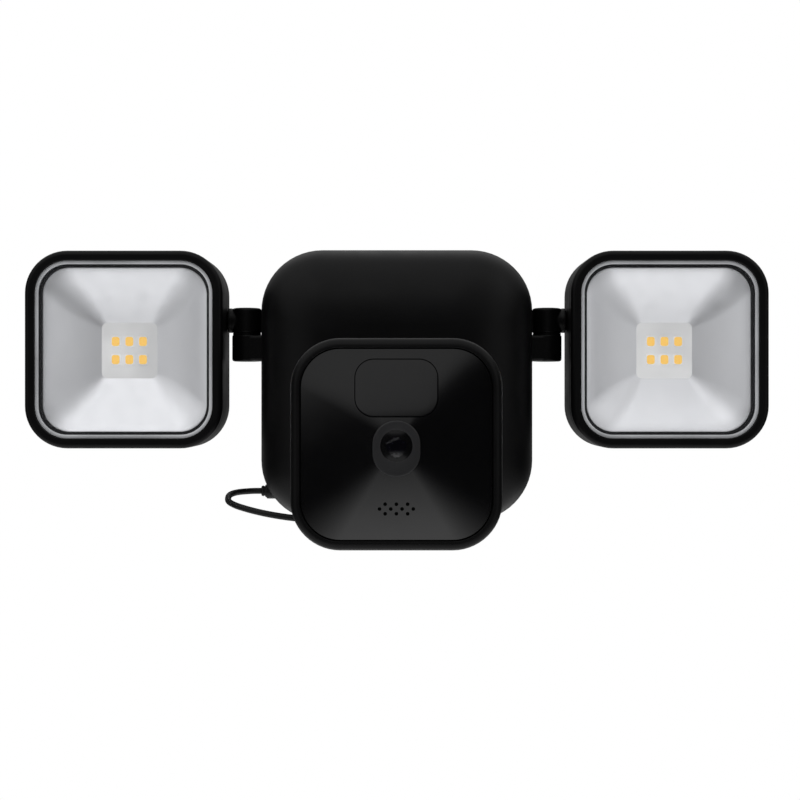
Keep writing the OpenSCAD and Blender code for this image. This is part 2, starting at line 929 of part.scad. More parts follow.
module surround_plate(near, far, r) {
    translate([0, -near, 0])
        rotate([90, 0, 0])
            linear_extrude(far - near)
                surround_outline(r);
}

module camera_fascia() {
    color(dark_glass)
        difference() {
            slab(0, cam_z, fascia_back, fascia_front, fascia_w, fascia_w, cam_r - 3.35);
            slab(0, pir_z, fascia_back - 1, fascia_front + 1,
                pir_size[0] + 0.3, pir_size[1] + 0.3, pir_r + 0.15);
            surround_plate(fascia_back - 1, fascia_front + 1, surround_r - 0.8);
            for (row = [-1 : 1])
                let (n = row == 0 ? 4 : 3)
                    for (i = [0 : n - 1])
                        rod_y((i - (n - 1) / 2) * hole_pitch_x, speaker_z + row * hole_pitch_z,
                            fascia_back - 1, fascia_front + 1, grille_hole_r);
        }
}

module pir_window() {
    color(dark_glass)
        slab(0, pir_z, fascia_back, fascia_front, pir_size[0], pir_size[1], pir_r);
}

module lens_surround() {
    color(grey_black)
        difference() {
            union() {
                surround_plate(fascia_back, fascia_front, surround_r - 0.85);
                surround_plate(fascia_front, cam_front + 0.2, surround_r);
            }
            rod_y(0, lens_z, fascia_back - 1, cam_front + 1, lens_r + 0.1);
        }
}

module lens_glass() {
    color(dark_glass)
        intersection() {
            rod_y(0, lens_z, fascia_back - 0.6, cam_front, lens_r);
            translate([0, -cam_front + 16.4, lens_z])
                sphere(16, $fn = 96);
        }
}

module lens_barrel() {
    color(grey_black)
        rod_y(0, lens_z, board_at + cam_board_t, fascia_back - 0.6, lens_r + 0.2);
}

module speaker() {
    color(grey_black)
        rod_y(0, speaker_z, front_wall_back - 3, front_wall_back, 7);
}

module camera_board() {
    front = board_at + cam_board_t;
    color(board_green)
        slab(0, cam_z, board_at, front, 54, 54, 6);
    color(rubber) {
        rod_y(0, pir_z, front, front_wall_back + 0.6, 4.2);
        rod_y(8.5, cam_z + 5, front, front + 2.6, 1.5);
        block([-22, -front - 1.5, cam_z - 6], [-11, -front, cam_z + 5]);
        block([12, -front - 1.2, cam_z - 14], [21, -front, cam_z - 5]);
    }
}

module aa_cells() {
    color(cell_blue)
        for (s = [left, right])
            translate([s * aa_x, aa_y, cam_z])
                rotate([s > 0 ? 0 : 180, 0, 0]) {
                    translate([0, 0, -aa_len / 2])
                        cylinder(h = aa_len - 1.2, r = aa_r);
                    translate([0, 0, aa_len / 2 - 1.2 - eps])
                        cylinder(h = 1.2 + eps, r = 2.6);
                }
}

module back_screw() {
    color(steel)
        difference() {
            union() {
                rod_y(0, back_screw_z, cam_back + 1.2, 113, 1.2);
                rod_y(0, back_screw_z, cam_back + 0.2, cam_back + 1.2, 2.5);
            }
            block([-1.5, -cam_back - 0.8, back_screw_z - 0.35],
                [1.5, -cam_back, back_screw_z + 0.35]);
        }
}

// ---------------------------------------------------------------- what is drawn

wall_plate();
plate_lock_screw();
hub_frame();
hub_front();
rear_cover();
rear_cover_seal();
rear_cover_screws();
battery_holder();
d_cell(left, 0, cell_up(left, 0));  // d_cell_1
d_cell(right, 0, cell_up(right, 0));  // d_cell_2
d_cell(left, 1, cell_up(left, 1));  // d_cell_3
d_cell(right, 1, cell_up(right, 1));  // d_cell_4
cell_springs();
cell_contacts();
controller_board();
board_screws();
ball_socket();
lead_gland();
usb_lead();
left_knuckle();
right_knuckle();
friction_washers();
left_arm();
left_pivot_pin();
left_tilt_screw();
right_arm();
right_pivot_pin();
right_tilt_screw();
left_housing();
left_bezel();
left_lens();
left_lens_seal();
left_reflector();
left_led_board();
left_leds();
left_heat_sink();
left_lamp_screws();
right_housing();
right_bezel();
right_lens();
right_lens_seal();
right_reflector();
right_led_board();
right_leds();
right_heat_sink();
right_lamp_screws();
mount_ball();
ball_stem();
camera_back();
camera_body();
camera_fascia();
pir_window();
lens_surround();
lens_glass();
lens_barrel();
speaker();
camera_board();
aa_cells();
back_screw();
usb_plug();
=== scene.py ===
"""The floodlight security camera's looks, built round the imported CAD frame.

Sizes are in millimetres and are turned into metres where a mesh is made. Places come from the
frame's boxes. X is the viewer's right, Z is up, and the front faces -Y. A level of a shape is its
distance from the wall, its half size and its corner radius.
"""

import json
import math

import bpy
import bmesh
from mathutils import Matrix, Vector


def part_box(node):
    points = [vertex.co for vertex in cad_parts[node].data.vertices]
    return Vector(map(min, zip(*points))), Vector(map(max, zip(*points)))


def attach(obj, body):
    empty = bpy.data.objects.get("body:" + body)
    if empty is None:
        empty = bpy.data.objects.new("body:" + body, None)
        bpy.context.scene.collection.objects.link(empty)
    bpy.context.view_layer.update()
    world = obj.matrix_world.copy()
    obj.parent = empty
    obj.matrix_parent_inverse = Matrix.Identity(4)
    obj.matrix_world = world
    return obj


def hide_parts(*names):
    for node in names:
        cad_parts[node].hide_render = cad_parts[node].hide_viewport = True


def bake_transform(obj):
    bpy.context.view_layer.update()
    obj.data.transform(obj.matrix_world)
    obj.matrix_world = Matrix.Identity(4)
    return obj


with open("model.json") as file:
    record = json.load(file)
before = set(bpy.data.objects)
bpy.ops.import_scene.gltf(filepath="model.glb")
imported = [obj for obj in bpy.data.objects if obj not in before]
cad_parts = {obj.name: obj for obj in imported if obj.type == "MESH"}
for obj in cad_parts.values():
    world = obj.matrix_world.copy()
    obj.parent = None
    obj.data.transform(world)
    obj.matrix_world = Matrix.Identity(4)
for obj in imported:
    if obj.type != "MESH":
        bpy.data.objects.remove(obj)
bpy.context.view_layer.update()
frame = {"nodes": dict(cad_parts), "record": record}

MM = 0.001
SIDES = {"left": -1, "right": 1}


def box_mm(node):
    """Lowest and highest corners of a CAD node, in millimetres."""
    low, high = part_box(node)
    return low / MM, high / MM


def middle(node):
    low, high = box_mm(node)
    return (low + high) / 2


# ------------------------------------------------------------------ camera


def add_camera():
    """A level camera in front of the object, which sees both lamps with a small margin."""
    data = bpy.data.cameras.new("view_camera")
    data.sensor_width = 36
    data.lens = 69.3
    data.clip_start = 0.01
    camera = bpy.data.objects.new("view_camera", data)
    camera.location = (0.0012, -0.642, -0.0054)
    camera.rotation_euler = (math.radians(90), 0, 0)
    bpy.context.scene.collection.objects.link(camera)
    bpy.context.scene.camera = camera


add_camera()

# ------------------------------------------------------------------ materials


def node_of(tree, kind, **values):
    """A new node with its inputs set, or its own settings where no input has the name."""
    node = tree.nodes.new(kind)
    for key, value in values.items():
        if key in node.inputs:
            node.inputs[key].default_value = value
        else:
            setattr(node, key, value)
    return node


def map_range(tree, source, start, end, low, high, **settings):
    """A value that goes from low to high while the source goes from start to end."""
    values = {"From Min": start, "From Max": end, "To Min": low, "To Max": high}
    node = node_of(tree, "ShaderNodeMapRange", **values, **settings)
    tree.links.new(source, node.inputs["Value"])
    return node.outputs["Result"]


class Surface:
    """A procedural material: one Principled shader, with noise for its grain and its wear."""

    NOISE_RANGE = (0.3, 0.7)
    COLOR_STOPS = (0.35, 0.65)

    def __init__(self, name, color, roughness, **sockets):
        self.material = bpy.data.materials.new(name)
        self.material.use_nodes = True
        self.tree = self.material.node_tree
        self.shader = self.tree.nodes["Principled BSDF"]
        self.shader.inputs["Base Color"].default_value = (*color, 1.0)
        self.shader.inputs["Roughness"].default_value = roughness
        for key, value in sockets.items():
            self.shader.inputs[key.replace("_", " ")].default_value = value
        self.where = node_of(self.tree, "ShaderNodeTexCoord").outputs["Object"]

    def link(self, a, b):
        self.tree.links.new(a, b)

    def noise(self, scale, detail=3.0, rough=0.5, stretch=(1, 1, 1)):
        """Noise with features of about 1/scale metres."""
        mapping = node_of(self.tree, "ShaderNodeMapping", Scale=stretch)
        self.link(self.where, mapping.inputs["Vector"])
        texture = node_of(self.tree, "ShaderNodeTexNoise", Scale=scale, Detail=detail,
                          Roughness=rough)
        self.link(mapping.outputs["Vector"], texture.inputs["Vector"])
        return texture.outputs["Fac"]

    def bump(self, height, strength, distance):
        node = node_of(self.tree, "ShaderNodeBump", Strength=strength, Distance=distance)
        self.link(height, node.inputs["Height"])
        self.link(node.outputs["Normal"], self.shader.inputs["Normal"])
        return self

    def vary_roughness(self, source, low, high):
        result = map_range(self.tree, source, *self.NOISE_RANGE, low, high)
        self.link(result, self.shader.inputs["Roughness"])
        return self

    def vary_color(self, source, low, high):
        ramp = node_of(self.tree, "ShaderNodeValToRGB")
        stops = zip(ramp.color_ramp.elements, self.COLOR_STOPS, (low, high))
        for element, position, color in stops:
            element.position = position
            element.color = (*color, 1)
        self.link(source, ramp.inputs["Fac"])
        self.link(ramp.outputs["Color"], self.shader.inputs["Base Color"])
        return self


def shade(color, factor):
    return tuple(c * factor for c in color)


def plastic(name, color, roughness, grain=2600, depth=0.00003, strength=0.35, **sockets):
    """Moulded plastic with a fine spark-eroded grain, and slight handling marks."""
    s = Surface(name, color, roughness, **sockets)
    s.vary_color(s.noise(35, 2), shade(color, 0.85), shade(color, 1.2))
    s.vary_roughness(s.noise(60, 4, 0.6), roughness - 0.06, roughness + 0.06)
    return s.bump(s.noise(grain, 2), strength, depth)


def metal(name, color, roughness, stretch=(1, 1, 1), grain=1800):
    """Bare metal, brushed where its grain is stretched."""
    s = Surface(name, color, roughness, Metallic=1.0)
    s.vary_color(s.noise(90, 3), shade(color, 0.85), shade(color, 1.05))
    s.vary_roughness(s.noise(400, 3, 0.6, stretch), roughness - 0.1, roughness + 0.1)
    return s.bump(s.noise(grain, 2, 0.5, stretch), 0.25, 0.00002)


def make_materials():
    m = {
        "matte_black": plastic("matte_black", (0.0016, 0.0016, 0.0018), 0.4,
                               Specular_IOR_Level=0.11),
        "dark_plastic": plastic("dark_plastic", (0.012, 0.012, 0.013), 0.4,
                                Specular_IOR_Level=0.3),
        "rubber": plastic("rubber", (0.003, 0.003, 0.0032), 0.55, grain=3000, depth=0.00002,
                          strength=0.2, Specular_IOR_Level=0.2),
        "steel": metal("steel", (0.55, 0.56, 0.58), 0.35),
        "brass": metal("brass", (0.75, 0.56, 0.27), 0.35),
        "heat_sink": metal("heat_sink", (0.62, 0.63, 0.65), 0.42, stretch=(1, 0.05, 1)),
        "cell": plastic("cell", (0.05, 0.075, 0.12), 0.35, grain=900),
        "circuit_board": plastic("circuit_board", (0.02, 0.12, 0.05), 0.4, grain=3500),
        # The plate's faint emission is a painted glow: it makes the plate, and the LED packages
        # that share its material, look more brightly lit
        "led_plate": plastic("led_plate", (0.93, 0.93, 0.92), 0.45, grain=3000,
                             Emission_Color=(0.93, 0.95, 1.0, 1), Emission_Strength=0.14),
    }
    gloss = Surface("gloss_black", (0.0025, 0.0025, 0.0028), 0.1, Coat_Weight=0.15,
                    Coat_Roughness=0.1)
    gloss.vary_roughness(gloss.noise(60, 3), 0.08, 0.11)
    m["gloss_black"] = gloss.bump(gloss.noise(40, 1), 0.02, 0.0002)

    silver = Surface("reflector", (0.82, 0.825, 0.845), 0.38, Metallic=0.75)
    silver.vary_color(silver.noise(30, 2), (0.87, 0.88, 0.91), (0.91, 0.92, 0.95))
    silver.vary_roughness(silver.noise(220, 3), 0.34, 0.42)
    m["reflector"] = silver.bump(silver.noise(1400, 2), 0.14, 0.00003)

    # The lamp is off: the phosphor's faint emission is a painted glow that keeps its colour bright
    led = Surface("led", (1.0, 0.58, 0.05), 0.35, Emission_Color=(1.0, 0.63, 0.25, 1),
                  Emission_Strength=0.47)
    led.vary_color(led.noise(1500, 3), (0.95, 0.52, 0.03), (1.0, 0.62, 0.06))
    m["led"] = led.bump(led.noise(2500, 2), 0.2, 0.00003)

    clear = Surface("clear_lens", (0.25, 0.26, 0.28), 0.04, Alpha=0.05, Specular_IOR_Level=0.8)
    m["clear_lens"] = clear.vary_roughness(clear.noise(40, 3), 0.02, 0.07)
    # The bead's light grey is a painted glint: it stands in for the bright refracted edge of the
    # clear pane
    m["painted_edge_glint"] = plastic("painted_edge_glint", (0.55, 0.56, 0.58), 0.3, grain=2200)

    glass = Surface("lens_glass", (0.004, 0.004, 0.008), 0.03, Alpha=0.35, Coat_Weight=1.0,
                    Coat_Roughness=0.02)
    m["lens_glass"] = glass.vary_roughness(glass.noise(60, 2), 0.02, 0.05)
    return {name: surface.material for name, surface in m.items()}


MATERIALS = make_materials()

# ------------------------------------------------------------------ outlines, rings and skins

TINY = 0.02  # radius where a turned shape ends on its axis
LEAST_CORNER = 0.05


def outline(half_w, half_h, r, steps=14):
    """Points round a rectangle with rounded corners, in X and Z."""
    points = []
    for q, (sx, sz) in enumerate(((1, 1), (-1, 1), (-1, -1), (1, -1))):
        for k in range(steps + 1):
            a = math.radians(90 * (q + k / steps))
            points.append((sx * (half_w - r) + r * math.cos(a),
                           sz * (half_h - r) + r * math.sin(a)))
    return points


def rectangle(x, y, z, half_w, half_h, r, steps=14):
    """A ring round a rounded rectangle, which faces along Y, with its middle at x, y, z."""
    return [(x + px, y, z + pz) for px, pz in outline(half_w, half_h, r, steps)]


def square_rings(centre, levels, steps=14):
    """Square rings facing -Y from levels. Only the centre's x and z count."""
    x, _, z = centre
    return [rectangle(x, -far, z, half, half, max(r, LEAST_CORNER), steps)
            for far, half, r in levels]


def quarter_round(steps):
    """Pairs over a unit quarter circle: how far short of the end face, and in from the side."""
    angles = [math.radians(90 * k / steps) for k in range(steps + 1)]
    return [(1 - math.sin(a), 1 - math.cos(a)) for a in angles]


def edge_levels(far, half, r, radius, outwards, steps=8, depth=None, corner=1.0):
    """Levels over a rounded edge, from the wall's side outwards.

    outwards is 1 for an edge that ends in a front face at far, and -1 for one that starts from a
    back face there. depth is the edge's size along Y where it differs from its radius, and corner
    is how fast the corner's radius shrinks with the inset.
    """
    depth = depth or radius
    levels = [
        (far - outwards * depth * short, half - radius * inset, r - corner * radius * inset)
        for short, inset in quarter_round(steps)
    ]
    return levels if outwards > 0 else levels[::-1]


def lathe_rings(centre, axis, profile, steps=64):
    """Rings round an axis through centre. profile is (place along the axis, radius) pairs."""
    along_index = "XYZ".index(axis)
    u, v = (i for i in range(3) if i != along_index)
    rings = []
    for along, radius in profile:
        ring = []
        for k in range(steps):
            a = 2 * math.pi * k / steps
            p = [0.0, 0.0, 0.0]
            p[along_index] = along
            p[u] = centre[u] + radius * math.cos(a)
            p[v] = centre[v] + radius * math.sin(a)
            ring.append(tuple(p))
        rings.append(ring)
    return rings


def rounded_profile(start, end, radius, edge_start, edge_end, steps=4):
    """Profile of a turned piece from start to end along its axis, with rounded ends."""
    sign = 1 if end > start else -1
    first = [(start + sign * edge_start * short, radius - edge_start * inset)
             for short, inset in quarter_round(steps)]
    last = [(end - sign * edge_end * short, radius - edge_end * inset)
            for short, inset in quarter_round(steps)]
    return first[::-1] + last


def half_round(middle_at, depth, radius, step=9):
    """Profile of a dome from its tip to its rim. depth is negative where it points to -Y."""
    angles = [math.radians(a) for a in range(0, 91, step)]
    return [(middle_at + depth * math.cos(a), max(radius * math.sin(a), TINY)) for a in angles]


def skin(rings, caps=(True, True), closed=False):
    """Points and faces that join rings of equally many points, with flat caps or closed round."""
    n = len(rings[0])
    points = [p for ring in rings for p in ring]
    faces = []
    for i in range(len(rings) if closed else len(rings) - 1):
        a, b = i * n, (i + 1) % len(rings) * n
        for k in range(n):
            m = (k + 1) % n
            faces.append((a + k, b + k, b + m, a + m))
    if not closed and caps[0]:
        faces.append(tuple(range(n)))
    if not closed and caps[1]:
        faces.append(tuple((len(rings) - 1) * n + k for k in reversed(range(n))))
    return points, faces


def merged(solids):
    """Points and faces of several skins in one."""
    points, faces = [], []
    for more_points, more_faces in solids:
        faces += [tuple(i + len(points) for i in f) for f in more_faces]
        points += more_points
    return points, faces


# ------------------------------------------------------------------ pieces

MERGE_DISTANCE = 1e-7


def mesh_object(name, points, faces, merge=False):
    """An object from points in millimetres, with its faces turned outwards."""
    mesh = bpy.data.meshes.new(name)
    mesh.from_pydata([Vector(p) * MM for p in points], [], faces)
    edit = bmesh.new()
    edit.from_mesh(mesh)
    if merge:
        bmesh.ops.remove_doubles(edit, verts=edit.verts, dist=MERGE_DISTANCE)
    bmesh.ops.recalc_face_normals(edit, faces=edit.faces)
    edit.to_mesh(mesh)
    edit.free()
    piece = bpy.data.objects.new(name, mesh)
    bpy.context.scene.collection.objects.link(piece)
    return piece


def weight_normals(piece):
    piece.modifiers.new("even_shading", "WEIGHTED_NORMAL").keep_sharp = True


def smooth_shading(piece, sharp, weighted=True):
    """Smooth faces, with edges sharper than an angle in degrees left crisp."""
    piece.data.shade_smooth()
    piece.data.set_sharp_from_angle(angle=math.radians(sharp))
    if weighted:
        weight_normals(piece)


def dress(piece, body, slot, replaced=(), sharp=32, weighted=True, finish=None):
    """Shading, the material of the finish or else of the slot, body and the CAD nodes that a piece
    stands for.
    """
    piece.data.materials.clear()
    piece.data.materials.append(MATERIALS[finish or slot])
    smooth_shading(piece, sharp, weighted)
    if body:
        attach(piece, body)
    if replaced:
        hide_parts(*replaced)
    return piece


def new_piece(name, points, faces, body, slot, replaced=(), sharp=32, weighted=True, finish=None):
    """A piece from points in millimetres, which rides on a body and may replace CAD nodes."""
    piece = mesh_object(name, points, faces, merge=True)
    return dress(piece, body, slot, replaced, sharp, weighted, finish)


def bake(piece):
    """Applies a piece's modifiers to its mesh."""
    bpy.context.view_layer.update()
    evaluated = piece.evaluated_get(bpy.context.evaluated_depsgraph_get())
    mesh = bpy.data.meshes.new_from_object(evaluated)
    piece.modifiers.clear()
    piece.data = mesh


def cut(piece, shapes, sharp=32):
    """Cuts closed shapes out of a piece, then tidies its shading."""
    piece.modifiers.clear()
    cutters = [mesh_object("cutter", *shape) for shape in shapes]
    for cutter in cutters:
        modifier = piece.modifiers.new("cut", "BOOLEAN")
        modifier.operation = "DIFFERENCE"
        modifier.solver = "EXACT"
        modifier.object = cutter
    bake(piece)
    for cutter in cutters:
        bpy.data.objects.remove(cutter)
    smooth_shading(piece, sharp)


def drill(centre, axis, profile, steps=64):
    """A turned shape for cut, such as a hole or a counterbore."""
    return skin(lathe_rings(centre, axis, profile, steps))


def fused(name, solids, body, slot, replaced, voxel=0.28, rounds=6):
    """One smooth piece from overlapping closed solids, blended where they meet."""
    piece = mesh_object(name, *merged(solids))
    remesh = piece.modifiers.new("fuse", "REMESH")
    remesh.mode = "VOXEL"
    remesh.voxel_size = voxel * MM
    smooth = piece.modifiers.new("soften", "SMOOTH")
    smooth.factor = 0.5
    smooth.iterations = rounds
    bake(piece)
    return dress(piece, body, slot, replaced, sharp=180, weighted=False)


# ------------------------------------------------------------------ the lead

# The lead's route from the gland to the plug, as in the CAD
LEAD_ROUTE = [
    (-51.5, -55.5, -40), (-54.5, -55.8, -40), (-57.3, -57.1, -40.1), (-59.6, -59.5, -40.2),
    (-61.2, -62.8, -40.4), (-62.1, -66.8, -40.7), (-62.3, -71.2, -41.1), (-62, -75.7, -41.6),
    (-61.4, -80, -42.2), (-60, -84, -42.8), (-57.6, -87.6, -43.5), (-54.2, -90.5, -44.3),
    (-50, -92.7, -45.2), (-45.2, -94.1, -46.1), (-40, -94.8, -46.9), (-34.8, -95, -47.5),
    (-29.6, -95, -47.8), (-24.5, -95, -47.8),
]
LEAD_D = 2.3
LEAD_SPLIT = 10  # point of the route where the first half ends
LEAD_STEPS = 6  # steps between two points of the route


def spline(points, steps=LEAD_STEPS):
    """A smooth curve through all of the points."""
    line = []
    for i in range(len(points) - 1):
        p0 = Vector(points[max(i - 1, 0)])
        p1, p2 = Vector(points[i]), Vector(points[i + 1])
        p3 = Vector(points[min(i + 2, len(points) - 1)])
        for k in range(steps):
            t = k / steps
            line.append(
                0.5 * (2 * p1 + (p2 - p0) * t + (2 * p0 - 5 * p1 + 4 * p2 - p3) * t * t
                       + (3 * p1 - p0 - 3 * p2 + p3) * t ** 3)
            )
    line.append(Vector(points[-1]))
    return line


def tube(line, radius, sides=20):
    angles = [2 * math.pi * k / sides for k in range(sides)]
    rings = []
    for i, p in enumerate(line):
        along = (line[min(i + 1, len(line) - 1)] - line[max(i - 1, 0)]).normalized()
        s = Vector((0, 0, 1)).cross(along).normalized()
        u = along.cross(s)
        rings.append([tuple(p + radius * (math.cos(a) * s + math.sin(a) * u)) for a in angles])
    return skin(rings)


def make_lead():
    """The lead as two tubes end to end."""
    line = spline(LEAD_ROUTE)
    split = LEAD_SPLIT * LEAD_STEPS
    halves = []
    for name, part, first, second in (
        ("lead_hub_half", line[:split + 1], "hub", "ball_unit"),
        ("lead_camera_half", line[split:], "ball_unit", "camera"),
    ):
        piece = new_piece(name, *tube(part, LEAD_D / 2), None, "rubber", sharp=60, weighted=False)
        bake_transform(piece)
        halves.append((piece, part))
    return halves


def make_gland():
    """Turned rubber boot where the lead leaves the hub."""
    low, high = box_mm("lead_gland")
    _, y, z = middle("lead_gland")
    steps = [(0, 1.25), (0, 1.7), (0.25, 1.95), (0.8, 2.05), (1.0, 1.85), (1.3, 1.85), (1.5, 2.3),
             (2.0, 2.55), (2.1, 2.9), (3, 2.95)]
    profile = [(low.x + along, radius) for along, radius in steps] + [(high.x, 2.95)]
    points, faces = skin(lathe_rings((0, y, z), "X", profile))
    return new_piece("lead_gland_boot", points, faces, "hub", "rubber", ("lead_gland",))


def make_plug():
    """Right-angled sealed plug: a ribbed boot that the lead enters, and a flat moulded body."""
    low, high = box_mm("usb_plug")
    end = LEAD_ROUTE[-1]
    start_x = end[0] + 0.6
    half_w, half_h = (high.x - start_x) / 2, (high.z - low.z) / 2
    body = [
        rectangle(start_x + half_w, -far, end[2], half_w - inset, half_h - inset,
                  1.9 - 0.5 * inset, 8)
        for far, inset in ((92.6, 1.1), (92.8, 0.6), (93.2, 0.2), (93.8, 0), (98.2, 0),
                           (98.9, 0.25))
    ]
    profiles = []
    for k in range(2):
        rib = end[0] + 0.05 + k * 0.9
        profiles.append(rounded_profile(rib, rib + 0.55, 2.1 + 0.25 * k, 0.15, 0.15))
    profiles.append([(end[0], 1.6), (end[0] + 2.6, 2.1)])
    solids = [skin(body)] + [skin(lathe_rings(end, "X", profile)) for profile in profiles]
    return new_piece("usb_plug_boot", *merged(solids), "camera", "rubber", ("usb_plug",))


def declare_lead(halves, gland, plug):
    """Hides the CAD node of the lead; the halves, gland and plug are not used."""
    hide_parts("usb_lead")


declare_lead(make_lead(), make_gland(), make_plug())

# ------------------------------------------------------------------ hub

HUB_R = 23
HUB_WALL = 2.4


def make_hub_front(half, front, seam, groove):
    """Front shell: a square with a wide dome round its flat front."""
    dome = edge_levels(front, half, HUB_R, 29, 1, steps=22, depth=front - 61.5, corner=0.62)
    levels = [(seam + 0.12, half - HUB_WALL, HUB_R - HUB_WALL),
              (seam + 0.12, half - groove, HUB_R - groove),
              (seam + 0.3, half - 0.06, HUB_R - 0.06), (seam + 0.55, half, HUB_R)] + dome
    _, flat_half, flat_r = dome[-1]
    levels += [(front, flat_half * k, flat_r * k) for k in (0.7, 0.4, 0.1)]
    points, faces = skin(square_rings((0, 0, 0), levels), caps=(False, True))
    new_piece("hub_front_skin", points, faces, "hub", "matte_black", ("hub_front",))


def make_hub_frame(half, seam, groove):
    """Side frame, open to the rear, with a ledge inside for the cover and its seal."""
    back = -box_mm("hub_frame")[1].y
    ledge_half, ledge_r, ledge_far = 42, 14, 8.5
    inner, inner_r = half - HUB_WALL, HUB_R - HUB_WALL
    levels = [(ledge_far + 1.5, ledge_half, ledge_r), (ledge_far, ledge_half, ledge_r),
              (ledge_far, inner, inner_r), (back + 0.3, inner, inner_r),
              (back, inner + 0.3, inner_r + 0.3), (back, half - 0.8, HUB_R - 0.8),
              (back + 0.25, half - 0.25, HUB_R - 0.25), (back + 0.8, half, HUB_R),
              (seam - 0.55, half, HUB_R), (seam - 0.3, half - 0.06, HUB_R - 0.06),
              (seam - 0.12, half - groove, HUB_R - groove), (seam - 0.12, inner, inner_r),
              (ledge_far + 3, inner, inner_r), (ledge_far + 1.5, inner, inner_r)]
    points, faces = skin(square_rings((0, 0, 0), levels), closed=True)
    piece = new_piece("hub_frame_skin", points, faces, "hub", "matte_black", ("hub_frame",))
    screw_low = box_mm("plate_lock_screw")[0].z
    screw_at = (0, middle("plate_lock_screw").y, 0)
    cut(piece, [drill(screw_at, "Z", [(screw_low - 1, 2.0), (screw_low + 1.25, 2.0)])])


def make_hub():
    """Frame and front shell of the hub, with a hairline seam between them."""
    low, high = box_mm("hub_front")
    half, groove = (high.x - low.x) / 2, 0.35
    make_hub_front(half, -low.y, -high.y, groove)
    make_hub_frame(half, -high.y, groove)


def make_ball_mount():
    """Socket with a grooved collar, the ball, and the stem that carries the camera."""
    ball = middle("mount_ball")
    ball_r = 6.48
    low, high = box_mm("ball_socket")
    back, rim = high.y, low.y
    flange = [(0, 14.0), (1.4, 14.0), (1.9, 13.8), (2.15, 13.3), (2.2, 11.2), (2.6, 10.2),
              (3.4, 9.6), (5.6, 9.6), (5.8, 9.3), (6.4, 9.3), (6.6, 9.6)]
    cup = [(0.9, 9.6), (0.3, 9.35), (0, 8.8), (0, 6.9), (0.2, 6.4), (2.4, 6.6), (8, 3), (8.4, 0.2)]
    profile = [(back - out, radius) for out, radius in flange]
    profile += [(rim + deep, radius) for deep, radius in cup]
    points, faces = skin(lathe_rings((0, 0, ball.z), "Y", profile))
    new_piece("ball_socket_cup", points, faces, "hub", "matte_black", ("ball_socket",))

    angles = [math.radians(180 * k / 32) for k in range(33)]
    profile = [(ball.y + ball_r * math.cos(a), max(ball_r * math.sin(a), TINY)) for a in angles]
    points, faces = skin(lathe_rings((0, 0, ball.z), "Y", profile))
    new_piece("mount_ball_skin", points, faces, "ball_unit", "dark_plastic", ("mount_ball",), 60)

    stem = [(5.7, 3.4), (7.3, 3.4), (8.0, 3.7), (8.35, 4.4), (8.45, 8.3), (8.7, 8.7), (9.1, 8.78)]
    profile = [(ball.y - out, radius) for out, radius in stem]
    profile.append((box_mm("ball_stem")[0].y, 8.78))
    points, faces = skin(lathe_rings((0, 0, ball.z), "Y", profile))
    new_piece("ball_stem_skin", points, faces, "camera", "matte_black", ("ball_stem",))


# ------------------------------------------------------------------ knuckles and arms


def make_knuckle(side, s, pin, r):
    """The fixed knuckle on the hub's side: a barrel and a web, with a sunk end for the pin."""
    low, high = box_mm(f"{side}_knuckle")
    barrel = skin(lathe_rings(pin, "Z", rounded_profile(low.z, high.z, r, 0.9, 0.5)))
    inner = s * (box_mm("hub_front")[1].x + 0.02)
    web = []
    for x, inset in ((inner, 0.0), (inner + s * 1.2, 0.1), (pin.x, 0.1)):
        web.append([
            (x, pin.y + py, middle(f"{side}_knuckle").z + pz)
            for py, pz in outline(r - inset, (high.z - low.z) / 2 - inset, 1.3, 6)
        ])
    knuckle = fused(f"{side}_knuckle_skin", [barrel, skin(web)], "hub", "matte_black",
                    (f"{side}_knuckle",))
    cut(knuckle, [drill(pin, "Z", [(low.z - 1, 3.6), (low.z + 2.2, 3.6)])], sharp=50)


def make_arm(side, s):
    """The knuckle, and the arm that turns on it and carries the lamp."""
    low, high = box_mm(f"{side}_knuckle")
    pin = middle(f"{side}_pivot_pin")
    r = (high.y - low.y) / 2
    make_knuckle(side, s, pin, r)

    low, high = box_mm(f"{side}_arm")
    lamp_side = s * (box_mm("right_housing")[0].x - 0.3)
    centre = (0, pin.y, (low.z + high.z) / 2)
    barrel = skin(lathe_rings(pin, "Z", rounded_profile(low.z, high.z, r, 0.5, 1.1)))
    bar = skin(lathe_rings(centre, "X", [(pin.x, 4.55), (lamp_side - s * 1.6, 4.55),
                                         (lamp_side - s * 1.5, 4.75), (lamp_side, 4.75)]))
    spigot = skin(lathe_rings(centre, "X", [(pin.x, 3.4), (lamp_side + s * 5, 3.4)]))
    fused(f"{side}_arm_skin", [barrel, bar, spigot], f"{side}_arm_unit", "matte_black",
          (f"{side}_arm",), rounds=4)


# ------------------------------------------------------------------ lamps

LAMP_R = 16


def make_housing(side, centre, half):
    """Lamp's rear casing, with rounded edges and four sunk screws."""
    low, high = box_mm(f"{side}_housing")
    back, front, wall = -high.y, -low.y, 2.5
    inner, inner_r = half - wall, LAMP_R - wall
    levels = [(back, half - 12, 6), (back, half - 7, 9.2)]
    levels += edge_levels(back, half, LAMP_R, 6.5, -1, steps=10, depth=6)
    levels += [(front - 0.35, half, LAMP_R), (front - 0.12, half - 0.25, LAMP_R - 0.25),
               (front - 0.12, inner, inner_r), (back + wall + 1, inner, inner_r),
               (back + wall, inner - 1, inner_r - 1)]
    points, faces = skin(square_rings(centre, levels))
    piece = new_piece(f"{side}_housing_skin", points, faces, f"{side}_lamp", "matte_black",
                      (f"{side}_housing",))
    screw_at = 25.5
    counterbore = [(high.y + 1, 3.1), (high.y - 0.2, 3.0), (high.y - 2.4, 2.75)]
    cut(piece, [
        drill((centre.x + sx * screw_at, 0, centre.z + sz * screw_at), "Y", counterbore, 40)
        for sx in (-1, 1) for sz in (-1, 1)
    ])


